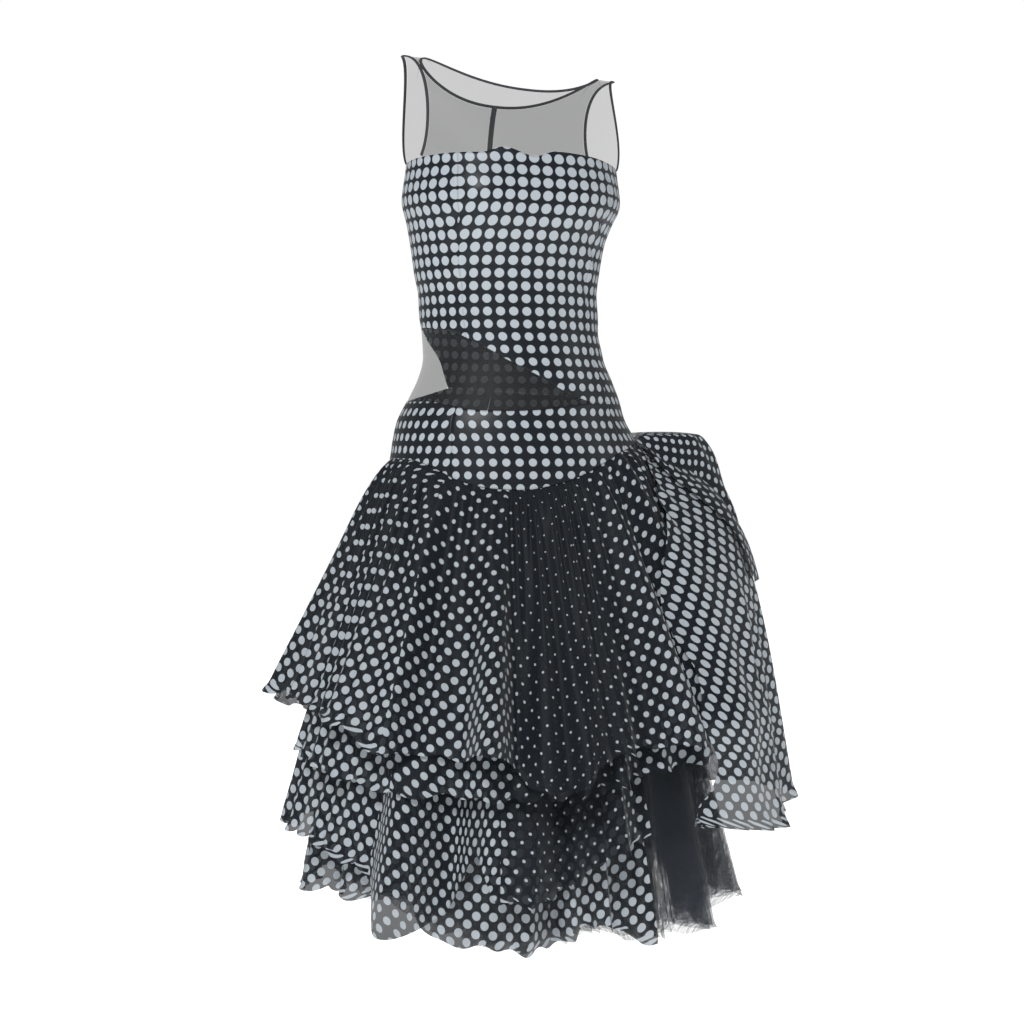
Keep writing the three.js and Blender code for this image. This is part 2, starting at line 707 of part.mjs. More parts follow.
// The gathered layers of the skirt
function addSkirt() {
  for (const layer of LAYERS) {
    const ridges = layer.folds.map((fold) => fold.at);
    for (const panel of layer.panels) {
      const columns = stepsBetween(panel.from + SEAM_ANGLE, panel.to - SEAM_ANGLE, SKIRT_STEP, ridges);
      const grid = columns.map((at) => {
        const fold = between(layer.folds, "at", "out", at);
        const length = skirtTop(at) - between(layer.folds, "at", "hem", at);
        return layer.rows
          .map((v) => v * length)
          .map((s) => hipPoint(at, standOut(layer, s, fold), skirtTop(at) - s));
      });
      addPiece(layer.name + "_" + panel.name, layer.cloth, wall(grid));
    }
  }
}

const wave = (folds, at) => folds.out * Math.cos((2 * Math.PI * at) / folds.every);

// How far the drape stands out at an angle and a distance below the hip seam.
function drapeOut(at, s) {
  const outer = LAYERS[0];
  const length = skirtTop(at) - between(DRAPE.hem, "at", "z", at);
  const front = between(DRAPE.frontEdge, "down", "at", s / length);
  const fold = between(outer.folds, "at", "out", at);
  const lowest = standOut(outer, Math.min(s, DRAPE.straightFrom), fold) + DRAPE.stack;
  const near = lowest + DRAPE.clear * Math.min(1, s / 60);
  const free = Math.max(near, standOut(DRAPE, s, wave(DRAPE.folds, at)));
  return THREE.MathUtils.lerp(near, free, THREE.MathUtils.smoothstep(at - front, 0, DRAPE.turn));
}

// The drape from the left hip
function addDrape() {
  const grid = [];
  for (let c = 0; c <= DRAPE.columns; c++) {
    const column = DRAPE.rows.map((v) => {
      const front = between(DRAPE.frontEdge, "down", "at", v);
      const back = THREE.MathUtils.lerp(DRAPE.backEdge.top, DRAPE.backEdge.foot, v);
      const at = THREE.MathUtils.lerp(front, back, c / DRAPE.columns);
      const s = v * (skirtTop(at) - between(DRAPE.hem, "at", "z", at));
      return hipPoint(at, drapeOut(at, s), skirtTop(at) - s);
    });
    grid.push(column);
  }
  addPiece("side_drape", "organza", wall(grid));
}

// The puff over the drape, tucked in to the hip at both ends
function addPuff() {
  const { from, to, turn } = PUFF;
  const columns = stepsBetween(from, to, (to - from) / PUFF.columns);
  const grid = columns.map((at) => {
    const rise = (degrees) => THREE.MathUtils.smoothstep(degrees, 0, turn);
    const tuck = rise(at - from) * rise(to - at);
    return PUFF.section.map(({ out, up }) => {
      const full = out * (1 + wave(PUFF.folds, at) / 160);
      const stand = THREE.MathUtils.lerp(PUFF.section[0].out, full, tuck);
      const over = up < 0 ? Math.max(stand, drapeOut(at, -up) + DRAPE.clear) : stand;
      return hipPoint(at, over, hipSeam(at) + up);
    });
  });
  addPiece("hip_puff", "organza", wall(grid));
}

addSatin();
addInset();
addYoke();
addBindings();
addZip();
addSkirt();
addDrape();
addPuff();

export default dress;
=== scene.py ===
"""A sleeveless polka-dot party dress in its worn form, with sheer yoke and waist inset, gathered organza
tiers over a net petticoat, and a drape with a puff at the left hip.

The tables are in millimetres and degrees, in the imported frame: angles go round the figure, 0 at the centre
front and 90 at the wearer's left. Each surface is worked out as whole arrays and turned to metres when it is
built.
"""

import math

import bpy
import numpy as np
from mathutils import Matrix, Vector


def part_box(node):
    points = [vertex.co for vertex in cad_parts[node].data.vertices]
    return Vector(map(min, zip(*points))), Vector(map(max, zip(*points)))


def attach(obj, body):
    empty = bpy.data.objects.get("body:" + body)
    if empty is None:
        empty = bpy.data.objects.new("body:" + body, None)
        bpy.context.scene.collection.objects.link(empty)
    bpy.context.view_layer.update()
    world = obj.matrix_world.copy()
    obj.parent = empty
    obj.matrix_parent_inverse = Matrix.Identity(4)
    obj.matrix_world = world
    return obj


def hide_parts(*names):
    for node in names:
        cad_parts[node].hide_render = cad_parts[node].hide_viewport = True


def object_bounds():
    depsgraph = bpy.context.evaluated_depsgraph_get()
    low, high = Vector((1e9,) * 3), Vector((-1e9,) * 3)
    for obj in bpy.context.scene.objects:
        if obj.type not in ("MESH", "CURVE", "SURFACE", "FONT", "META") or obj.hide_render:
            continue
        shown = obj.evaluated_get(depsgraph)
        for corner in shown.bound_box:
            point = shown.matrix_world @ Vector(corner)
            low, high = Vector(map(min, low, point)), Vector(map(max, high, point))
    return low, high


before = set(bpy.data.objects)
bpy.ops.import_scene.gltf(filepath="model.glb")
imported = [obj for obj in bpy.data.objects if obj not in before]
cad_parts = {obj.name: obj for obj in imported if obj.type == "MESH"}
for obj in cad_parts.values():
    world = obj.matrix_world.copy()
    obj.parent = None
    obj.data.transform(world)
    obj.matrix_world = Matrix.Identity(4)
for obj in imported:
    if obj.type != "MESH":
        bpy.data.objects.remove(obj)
LOADED_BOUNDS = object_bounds()

bl_info = {
    "name": "Polka-dot flounced dress",
    "version": (1, 0, 0),
    "blender": (4, 5, 0),
    "location": "View3D > Sidebar > Dress",
    "description": "Builds the cloth of a tiered polka-dot dress around its packed frame",
    "category": "Object",
}

MM = 0.001
CLOTH = 1.2
SEAM = 0.5
RIDGE = 0.5
SHOULDER = {"slope": -0.043, "drop": -4.2}
STRAP = {"outer": 145.0, "inner": 116.0}
NECK = {"dip": 35.0, "power": 2.2, "step": 0.5, "rounds": 6}
ARMHOLE = {"foot": 70.0, "bow_right": 9.0, "bow_left": 15.0}
BINDING_WIDTH = 4.0
BINDING_THICK = 1.1
# The chest's half width, how much wider it is at the shoulders and down to which drop; drops in metres
CHEST = {"half": 138, "wider": 60, "until": 0.13, "round": 0.1, "flat": 1.1}
CUP = {"at": 38.0, "spread": 24.0, "height": -178.0, "rise": 42.0, "out": 17.0}
ZIP_GAP = 1.6
PRINCESS = 45.0
SIDE_BACK = 135.0
BACK_WAIST = -412.0
# The inset's two points: angle, z
TIP_FRONT = (30.0, -430.0)
TIP_BACK = (-152.0, -408.0)

# Sections down the figure: z, half width, lean of the middle to +X, depth ahead, depth behind
FORM = np.array([
    (-545, 174, 11, 125, 132), (-500, 167, 10.8, 121, 128), (-475, 159, 6.7, 117, 123),
    (-450, 149, 3, 111, 116), (-423, 138, 6, 103, 106), (-400, 128, 7, 96, 96), (-370, 118, 4, 90, 86),
    (-336, 116.5, 0, 87, 81), (-294, 117, -2.9, 88, 82), (-265, 121, -4.2, 91, 85),
    (-227, 127, -3.6, 98, 89), (-205, 133, -1.5, 103, 91), (-174, 143, 1.9, 106, 94),
    (-127, 138, 2.6, 100, 92), (-90, 140, 2.6, 95, 88)], float)

# Edges round the figure: angle, z
BODICE_TOP = np.array([
    (-180, -136), (-110, -134), (-90, -129), (-45, -125.5), (-31, -126), (-19, -119), (-3, -129.5), (9, -122),
    (31, -124), (50, -128), (90, -134), (180, -136)], float)
INSET_TOP = np.array([
    (-152, -408), (-128, -354), (-105, -336), (-90, -335), (-56, -342), (-35, -359), (-17, -380), (1, -400),
    (14, -417), (30, -430)], float)
INSET_FOOT = np.array([
    (-152, -408), (-130, -420), (-102, -428), (-66, -429), (-33, -440), (-17, -441), (1, -439), (12, -435),
    (30, -430)], float)
HIP_SEAM = np.array([
    (-180, -497), (-135, -503), (-90, -500), (-69, -501), (-56, -508), (-40, -526), (-26, -535), (-13, -537),
    (5, -528), (15, -518), (26, -505), (40, -491), (71, -480), (100, -478), (140, -484), (180, -497)], float)

# Gathered layers from the outside in. Shape: place in the stack, puff, fall of the puff, flare. Folds: angle,
# stand-off 300 mm down, height of the hem. Panels: name, where each begins and ends.
LAYERS = {
    "tier_1": {
        "shape": (0, 10, 18, 0.435),
        "folds": [
            (-180, 6, -852), (-165, -8, -838), (-150, 10, -848), (-136, -8, -842), (-120, 4, -822),
            (-103, 10, -792), (-86, 0, -789), (-70, 2, -800), (-57, 4, -813), (-47, 9, -838),
            (-41, -12, -838), (-31, -9, -845), (-22, 22, -828), (-17, -8, -862), (-8, 2, -884),
            (2, 4, -846), (12, -4, -838), (23, 17, -832), (30, -13, -828), (41, 6, -818), (58, -16, -822),
            (76, -6, -830), (94, -16, -836), (112, 0, -846), (128, -10, -850), (146, 9, -846),
            (163, -8, -840), (180, 6, -852)],
        "panels": [("back_right", -180, -120), ("side_right", -120, -47), ("front_right", -47, -20),
                   ("centre", -20, 2), ("front_left", 2, 41), ("side_left", 41, 112),
                   ("back_left", 112, 180)],
    },
    "tier_2": {
        "shape": (-2, 8, 18, 0.36),
        "folds": [
            (-88, -6, -850), (-73, 4, -862), (-60, -4, -876), (-47, 2, -886), (-34, -6, -888), (-20, 2, -890),
            (-8, -4, -892), (4, 2, -884), (16, -5, -872), (29, 3, -864), (41, -3, -858)],
        "panels": [("side_right", -88, -47), ("front", -47, 2), ("front_left", 2, 41)],
    },
    "tier_3": {
        "shape": (-4, 6, 18, 0.29),
        "folds": [
            (-180, -6, -1000), (-164, 7, -1008), (-148, -6, -994), (-134, 7, -986), (-118, -4, -970),
            (-104, 0, -962), (-90, -1, -952), (-76, 4, -954), (-64, -3, -972), (-53, 2, -984),
            (-44, 12, -1038), (-35, -8, -1030), (-27, -2, -958), (-21, 6, -1004), (-13, 1, -1009),
            (-5, -5, -996), (6, 4, -960), (17, -4, -952), (112, -14, -990), (129, 2, -1000),
            (146, -8, -994), (163, 6, -1006), (180, -6, -1000)],
        "panels": [("back_right", -180, -118), ("side_right", -118, -53), ("front_right", -53, -21),
                   ("front", -21, 17), ("back_left", 112, 180)],
    },
    "tier_4": {
        "shape": (-6, 4, 18, 0.205),
        "folds": [
            (-180, 5, -1052), (-165, -5, -1040), (-150, 6, -1050), (-135, -5, -1044), (-120, 4, -1046),
            (-105, -2, -1038), (-90, 4, -1032), (-76, -3, -1026), (-64, 3, -1022), (-52, -6, -1022),
            (-43, -2, -1040), (-34, 4, -1064), (-26, -3, -1068), (-17, 4, -1072), (-8, -3, -1072),
            (1, 3, -1048), (9, -3, -1060), (17, 4, -1076), (112, -12, -1052), (129, -2, -1042),
            (146, -7, -1050), (163, 4, -1044), (180, 5, -1052)],
        "panels": [("back_right", -180, -120), ("side_right", -120, -52), ("front_right", -52, -8),
                   ("front", -8, 17), ("back_left", 112, 180)],
    },
    "petticoat": {
        "shape": (-8, 2, 18, 0.157),
        "folds": [
            (-180, 3, -1040), (-150, -3, -1036), (-122, 3, -1034), (-96, -3, -1022), (-70, 2, -1022),
            (-44, -3, -1056), (-18, 2, -1078), (8, -3, -1068), (20, 3, -1084), (33, -2, -1087),
            (46, 6, -1090), (58, -1, -1086), (69, 12, -1072), (84, -2, -1060), (104, 2, -1046),
            (128, -3, -1034), (154, 3, -1036), (180, 3, -1040)],
        "panels": [("right", -180, -96), ("front_right", -96, -18), ("front_left", -18, 69),
                   ("back_left", 69, 180)],
    },
}

# Radius of the organza's dots round the figure: angle, radius. They are smaller near the gathers, and the
# lowest tier's are all large.
DOT_SIZES = np.array([
    (-180, 5.2), (-120, 5.2), (-50, 5.0), (-44, 4.4), (-26, 4.9), (-20, 4.0), (-16, 1.9), (-6, 1.5), (6, 1.9),
    (14, 3.4), (22, 4.9), (40, 5.2), (180, 5.2)], float)
LARGE_DOT = 5.2
SEAM_DOTS = {"share": 0.62, "grow": (20, 260)}
FOLD_DEPTH = 2.0  # how much deeper the cloth's folds are than the solid's

# Finer folds of a tier: repeat in degrees, its drift in turns and degrees, stand-off, and the lengths down
# the layer in which it grows and fades
GATHERS = {"every": 4.3, "drift": (1.3, 13), "out": 2.8, "grow": 9, "fade": 95, "uneven": (0.5, 3.1)}
UNEVEN = {"every": 8.6, "drift": (0.9, 11), "out": 4.2, "grow": 70, "fade": 520}
SLOW = {"every": 14.5, "drift": (0.6, 19), "out": 8, "lean": 1500, "sharp": 1.3, "grow": (20, 330)}
BACK_SEAM_CALM = 14  # degrees beside the back seam in which the finer folds die away
CURL = {"over": 16, "out": 4.2, "up": 3, "every": 7.7, "drift": (0.7, 15)}
PANEL_STEP = 0.55
PANEL_ROWS = 57
ROW_POWER = 0.92  # rows lie closer towards the hem

# Fine lines of the satin: stand-off, millimetres down and degrees round for each radian of the sine, and the
# height they lie about with their spread
DRAG = {"out": 0.9, "down": 9, "lean": 14, "height": -340, "spread": 45, "sides": (20, 80)}
PUCKER = {"out": 2.0, "down": 6.5, "lean": 4, "height": -255, "spread": 75, "beside": 9, "sway": (2, 31)}
SATIN_DOTS = {"small": 4.8, "more": 1.35, "between": (-460, -150)}
SATIN_ROUND = 0.93  # the satin's width round the form against a circle of its half width

# The drape: its shape as a layer's, how far it clears the tier, the turn in which it leaves it, and its edges
DRAPE = {
    "shape": (1.8, 128, 60, 0.15), "clear": 8, "turn": 30, "straight": 330, "back": (108, 138), "every": 24,
    "out": 7, "dot": 5.3,
    "front": np.array([(0, 66), (0.12, 48), (0.25, 36), (0.42, 30), (0.6, 33), (0.72, 31), (0.83, 34),
                       (1, 27)], float),
    "hem": np.array([(27, -940), (50, -957), (62, -952), (72, -936), (92, -948), (114, -962), (138, -972)],
                    float),
}

DRAPE_RIPPLE = {"out": 3, "every": 8.3, "grow": (60, 300), "curl": 5, "curl_every": 6.1, "curl_from": 0.95}

# Under-layers of net: how far each lies inside the petticoat, its phase in turns and how far it ends above it
NET_LAYERS = [(5, 0.37, 2), (10, 0.71, 6), (16, 0.13, 12)]
NET_FOLDS = {"every": 9.0, "drift": (0.4, 17, 6), "out": 11, "grow": (60, 480), "middle": 0.4, "tuck": 60,
             "lift": (6, 23)}
ZIP = {"width": 7.0, "ridge": 0.9, "teeth": 0.3, "proud": 0.3, "thick": 0.8, "drop": 0.25}
BESIDE_ARMHOLE = 0.96  # share across the yoke from which the binding's direction is taken
YOKE_ZIP_EDGE = 0.024
STRAP_BREAK = {"before": 0.003, "after": 0.0001}  # shares across the yoke beside the strap's inner edge
INSET_TIP = {"short": 1.5, "least": 0.8}  # how far short of its points the inset ends, and its least height

# The puff over the drape: where it begins and ends, the stand-off at which its folds are fully open, and its
# section as stand-off and height
PUFF = {
    "from": 62, "to": 165, "turn": 26, "every": 27, "out": 6, "open": 160, "dot": 4.2,
    "section": np.array([(4, 2), (20, 9), (56, 13), (92, 10), (109, -8), (125, -46), (146, -98), (157, -145),
                         (156, -176)], float),
}
CRUMPLE = {"out": 3.5, "waves": ((1.0, 11.3, 260), (0.6, 6.7, -170)), "grow": (10, 90)}

# Plain colours: stretch mesh, bindings, zip, and the net's painted fold light and painted fold shade, the two
# colours of its streaks
MESH_GREY = (0.018, 0.02, 0.022, 1)
BINDING_BLACK = (0.006, 0.007, 0.009, 1)
ZIP_BLACK = (0.008, 0.009, 0.011, 1)
# Painted light and painted shade of the net's folds: the lighter and the darker colour of its streaks
NET_PAINTED_LIGHT, NET_PAINTED_SHADE = (0.03, 0.042, 0.058, 1), (0.004, 0.008, 0.014, 1)

# The stage, in metres: what the lamps and the camera are turned to, and each lamp's place, watts and size
AIM = Vector((0.0026, 0, -0.569))
CAMERA = {"place": (-0.7498, -2.0673, -0.477), "lens": 60, "sensor": 36}
LAMPS = [("key", (-1.5, -2.1, 1.5), 68, 0.7), ("fill", (2.4, -1.2, 0.5), 8, 1.2),
         ("back", (0.6, 2.4, 1.2), 12, 1.5)]
FLOOR = {"size": 12, "below": 0.22}
WORLD_LIGHT = {"lighting": 0.26, "seen": 1.0}
SHEER_LAYERS = 32  # how many see-through layers a ray may pass


def curve(rows, column, at):
    """Values of one column over the first: a cubic between each two rows. Its slope at a row is the harmonic
    mean of the rises beside it, and level at a high or low row."""
    rows = rows[np.argsort(rows[:, 0])]
    known, value = rows[:, 0], rows[:, column]
    span = np.diff(known)
    rise = np.diff(value) / span
    slope = np.zeros(len(known))
    slope[0], slope[-1] = rise[0], rise[-1]
    same = rise[:-1] * rise[1:] > 0
    with np.errstate(divide="ignore", invalid="ignore"):
        mean = 2 / (1 / rise[:-1] + 1 / rise[1:])
    slope[1:-1] = np.where(same, mean, 0)
    at = np.asarray(at, float)
    i = np.clip(np.searchsorted(known, at) - 1, 0, len(span) - 1)
    t = np.clip((at - known[i]) / span[i], 0, 1)
    low = value[i] * (1 + 2 * t) * (1 - t) ** 2 + span[i] * slope[i] * t * (1 - t) ** 2
    return low + value[i + 1] * t * t * (3 - 2 * t) - span[i] * slope[i + 1] * t * t * (1 - t)


def smooth(value, low, high):
    """Share from 0 to 1 of the way from low to high, level at both ends."""
    t = np.clip((value - low) / (high - low), 0, 1)
    return t * t * (3 - 2 * t)


def form_point(angle, z, out=0.0):
    """Points on the fitted form: a half ellipse ahead and one behind, with two cups as bell curves."""
    half, mid, ahead, behind = (curve(FORM, k, z) for k in (1, 2, 3, 4))
    swell = sum(np.exp(-((angle - side * CUP["at"]) / CUP["spread"]) ** 2
                       - ((z - CUP["height"]) / CUP["rise"]) ** 2) for side in (1, -1))
    a = np.radians(angle)
    depth = np.where(np.cos(a) > 0, ahead, behind) + out + CUP["out"] * swell
    x = mid + (half + out) * np.sin(a)
    return np.stack(np.broadcast_arrays(x, -depth * np.cos(a), z), -1)


def hip_point(angle, out, z):
    """Points standing out from the form's section at the hip seam."""
    seam = curve(HIP_SEAM, 1, angle)
    half, mid, ahead, behind = (curve(FORM, k, seam) for k in (1, 2, 3, 4))
    a = np.radians(angle)
    depth = np.where(np.cos(a) > 0, ahead, behind)
    x = mid + (half + out) * np.sin(a)
    return np.stack(np.broadcast_arrays(x, -(depth + out) * np.cos(a), z), -1)


def bay_edge(rows, angle):
    """An edge of the waist inset; past its two points both edges run together to the centre back."""
    inside = curve(rows, 1, angle)
    front = TIP_FRONT[1] + (angle - TIP_FRONT[0]) / (180 - TIP_FRONT[0]) * (BACK_WAIST - TIP_FRONT[1])
    back = TIP_BACK[1] + (angle - TIP_BACK[0]) / (-180 - TIP_BACK[0]) * (BACK_WAIST - TIP_BACK[1])
    return np.where(angle >= TIP_FRONT[0], front, np.where(angle <= TIP_BACK[0], back, inside))


def shoulder_at(x):
    """Height of the shoulder line."""
    return SHOULDER["drop"] + SHOULDER["slope"] * x


def chest_width(drop):
    """Half the chest's width at a drop in metres under the shoulder line, wider by a parabola near it."""
    return CHEST["half"] + CHEST["wider"] * np.maximum(0, 1 - (drop / CHEST["until"]) ** 2)


def chest_depth(x, z):
    """Depth of the chest: a square root of the drop under the shoulder line, an ellipse towards the arms."""
    drop = np.maximum(shoulder_at(x) - z, 0) * MM
    ellipse = np.sqrt(np.maximum(0, 1 - (x / chest_width(drop)) ** 2))
    return np.sqrt(CHEST["round"] * drop) / MM * ellipse / (1 + CHEST["flat"] * drop)


def chest_height(x, y):
    """Height of the chest over a place in plan, by repeating the depth's formula solved for its drop."""
    drop = np.zeros_like(x)
    for _ in range(NECK["rounds"]):
        fall = np.sqrt(1 - (x / chest_width(drop)) ** 2)
        depth = np.maximum(np.abs(y) - RIDGE, 0) * MM
        drop = (depth / fall * (1 + CHEST["flat"] * drop)) ** 2 / CHEST["round"]
    return shoulder_at(x) - drop / MM


def neck_edge(side, x):
    """Points of the boat neck's edge: a dip from the shoulder line that is deepest at the centre."""
    z = shoulder_at(x) - NECK["dip"] * (1 - (np.abs(x) / STRAP["inner"]) ** NECK["power"])
    return np.stack([x, -side * (chest_depth(x, z) + RIDGE), z], -1)


def neck_point(side, x, inwards):
    """Points a distance in from the boat neck, measured across the edge on the surface over the plan."""
    x = np.clip(np.asarray(x, float), -STRAP["inner"], STRAP["inner"])
    edge = neck_edge(side, x)
    ahead = neck_edge(side, np.minimum(x + NECK["step"], STRAP["inner"]))
    along = ahead - neck_edge(side, np.maximum(x - NECK["step"], -STRAP["inner"]))
    away = np.stack([along[..., 1], -along[..., 0]], -1)
    away /= np.linalg.norm(away, axis=-1, keepdims=True)
    away *= np.where((away * edge[..., :2]).sum(-1, keepdims=True) < 0, -1, 1)
    beyond = edge[..., :2] + away
    rise = chest_height(beyond[..., 0], beyond[..., 1]) - chest_height(edge[..., 0], edge[..., 1])
    plan = edge[..., :2] + away * (inwards / np.hypot(1, rise))[..., None]
    place = np.concatenate([plan, chest_height(plan[..., 0], plan[..., 1])[..., None]], -1)
    return np.where(np.asarray(inwards)[..., None] == 0, edge, place)


def yoke_point(side, across, up):
    """The yoke between the satin and its bound edges, across from -1 to 1 between the armholes and up from 0
    to 1. Each of its lines runs up evenly across the figure, bowed in beside the armhole. The square root of
    its drop under the shoulder line also changes evenly."""
    across, up = np.broadcast_arrays(np.asarray(across, float), np.asarray(up, float))
    margin = BINDING_WIDTH + SEAM
    bare = STRAP["inner"] / STRAP["outer"]
    size, sign = np.abs(across), np.where(across < 0, -1.0, 1.0)
    foot = across * ARMHOLE["foot"] if side > 0 else sign * (180 - size * ARMHOLE["foot"])
    base = form_point(foot, curve(BODICE_TOP, 1, foot) + SEAM)
    strap_width = STRAP["outer"] - STRAP["inner"] - 2 * margin
    strap = STRAP["inner"] + margin + (size - bare) / (1 - bare) * strap_width
    neck = neck_point(side, across / bare * STRAP["inner"], np.full(across.shape, margin))
    on_neck = size < bare
    top_x = np.where(on_neck, neck[..., 0], sign * strap)
    top_drop = np.where(on_neck, np.maximum(shoulder_at(neck[..., 0]) - neck[..., 2], 0), 0)
    bow = np.where(across > 0, ARMHOLE["bow_left"], ARMHOLE["bow_right"]) * 4 * up * (1 - up) * size ** 3
    x = base[..., 0] * (1 - up) + top_x * up - sign * bow
    foot_drop = shoulder_at(base[..., 0]) - base[..., 2]
    root = np.sqrt(foot_drop) * (1 - up) + np.sqrt(top_drop) * up
    z = shoulder_at(x) - root ** 2
    misfit = np.abs(base[..., 1]) - chest_depth(base[..., 0], base[..., 2])
    depth = chest_depth(x, z) + misfit * (1 - up) ** 2 + RIDGE * up
    return np.stack([x, -side * depth, z], -1)


def stand_off(shape, s, fold):
    """Stand-off of a gathered layer at s below the seam: its stack, a puff that grows within its fall, a
    flare along a straight line, and its folds, which deepen evenly."""
    stack, puff, fall, flare = shape
    return stack + puff * (1 - np.exp(-s / fall)) + flare * s + fold * s / 300


def drifting(angle, folds):
    """Turns of a fold that repeats round the figure, with a sine's drift that makes the repeats uneven."""
    turns, degrees = folds["drift"]
    return angle / folds["every"] + turns * np.sin(angle / degrees)


def relief(angle, s):
    """Stand-off of a layer's finer folds: gathers that fade within some 100 mm of the seam, uneven folds
    between the large ones, and slow folds that grow towards the hem."""
    gather = np.cos(math.tau * drifting(angle, GATHERS)) * (1 - np.exp(-s / GATHERS["grow"]))
    gather = gather * np.exp(-s / GATHERS["fade"])
    gather = gather * (1 + GATHERS["uneven"][0] * np.sin(angle / GATHERS["uneven"][1]))
    uneven = np.sin(math.tau * drifting(angle, UNEVEN)) * smooth(s, 0, UNEVEN["grow"])
    uneven = uneven * np.exp(-s / UNEVEN["fade"])
    slow = 1 - 2 * np.abs(np.sin(math.pi * (drifting(angle, SLOW) + s / SLOW["lean"]))) ** SLOW["sharp"]
    folds = (GATHERS["out"] * gather + UNEVEN["out"] * uneven
             + SLOW["out"] * slow * smooth(s, *SLOW["grow"]))
    return folds * smooth(180 - np.abs(angle), 0, BACK_SEAM_CALM)


def wave(folds, angle):
    """Stand-off of a hip flounce's large folds, a cosine round the figure."""
    return folds["out"] * np.cos(math.tau * angle / folds["every"])


def drape_out(angle, s):
    """Stand-off of the side drape: along the outer tier at its front edge, then out to its own fall."""
    length = curve(HIP_SEAM, 1, angle) - SEAM - CLOTH - curve(DRAPE["hem"], 1, angle)
    front = curve(DRAPE["front"], 1, np.clip(s / length, 0, 1))
    within = np.minimum(s, DRAPE["straight"])
    fold = FOLD_DEPTH * curve(np.array(LAYERS["tier_1"]["folds"], float), 1, angle)
    lowest = stand_off(LAYERS["tier_1"]["shape"], within, fold) + relief(angle, within) + DRAPE["shape"][0]
    near = lowest + DRAPE["clear"] * np.minimum(1, s / 60)
    free = np.maximum(near, stand_off(DRAPE["shape"], s, wave(DRAPE, angle)))
    return near + (free - near) * smooth(angle - front, 0, DRAPE["turn"])


def cloth_coordinates(points):
    """Coordinates that follow the cloth: lengths along its own lines, across from its middle line and down
    from its top line."""
    across = np.linalg.norm(np.diff(points, axis=0), axis=-1).cumsum(0)
    across = np.concatenate([np.zeros((1, points.shape[1])), across])
    down = np.linalg.norm(np.diff(points, axis=1), axis=-1).cumsum(1)
    down = np.concatenate([np.zeros((points.shape[0], 1)), down], 1)
    return np.stack([across - across[len(points) // 2], -down], -1)


def build(name, points, uv, dot, material, replaces, walls=0.0):
    """A mesh object from a grid of points in millimetres, with its own cloth coordinates in metres and the
    dots' radius at each point; walls gives a Solidify thickness in millimetres."""
    name += "_cloth"
    columns, rows = points.shape[:2]
    ids = np.arange(columns * rows).reshape(columns, rows)
    faces = np.stack([ids[:-1, :-1], ids[:-1, 1:], ids[1:, 1:], ids[1:, :-1]], -1).reshape(-1, 4)
    mesh = bpy.data.meshes.new(name)
    mesh.vertices.add(columns * rows)
    mesh.vertices.foreach_set("co", (points.reshape(-1, 3) * MM).astype(np.float32).ravel())
    mesh.loops.add(faces.size)
    mesh.loops.foreach_set("vertex_index", faces.ravel().astype(np.int32))
    mesh.polygons.add(len(faces))
    mesh.polygons.foreach_set("loop_start", np.arange(0, faces.size, 4, dtype=np.int32))
    mesh.update(calc_edges=True)
    layer = mesh.uv_layers.new(name="cloth")
    layer.data.foreach_set("uv", (uv.reshape(-1, 2)[faces.ravel()] * MM).astype(np.float32).ravel())
    radius = mesh.attributes.new("dot", "FLOAT", "POINT")
    radii = np.broadcast_to(dot, points.shape[:2]).ravel() * MM
    radius.data.foreach_set("value", radii.astype(np.float32))
    mesh.polygons.foreach_set("use_smooth", np.ones(len(faces), bool))
    mesh.materials.append(material)
    mesh.validate()
    piece = bpy.data.objects.new(name, mesh)
    bpy.context.scene.collection.objects.link(piece)
    if walls:
        solid = piece.modifiers.new("wall", "SOLIDIFY")
        solid.thickness = walls * MM
        solid.offset = 0
    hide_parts(*replaces)
    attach(piece, "root")
    return piece


class Nodes:
    """Short calls that add linked shader nodes to one material."""

    def __init__(self, name):
        self.material = bpy.data.materials.new(name)
        self.material.use_nodes = True
        self.tree = self.material.node_tree
        self.shader = self.tree.nodes["Principled BSDF"]

    def add(self, kind, **values):
        node = self.tree.nodes.new(kind)
        for key, value in values.items():
            setattr(node, key, value)
        return node

    def put(self, socket, value):
        if isinstance(value, bpy.types.NodeSocket):
            self.tree.links.new(value, socket)
        else:
            socket.default_value = value

    def math(self, operation, *values):
        node = self.add("ShaderNodeMath", operation=operation)
        for socket, value in zip(node.inputs, values):
            self.put(socket, value)
        return node.outputs[0]

    def mix(self, factor, first, second):
        node = self.add("ShaderNodeMix", data_type="RGBA")
        self.put(node.inputs[0], factor)
        self.put(node.inputs[6], first)
        self.put(node.inputs[7], second)
        return node.outputs[2]


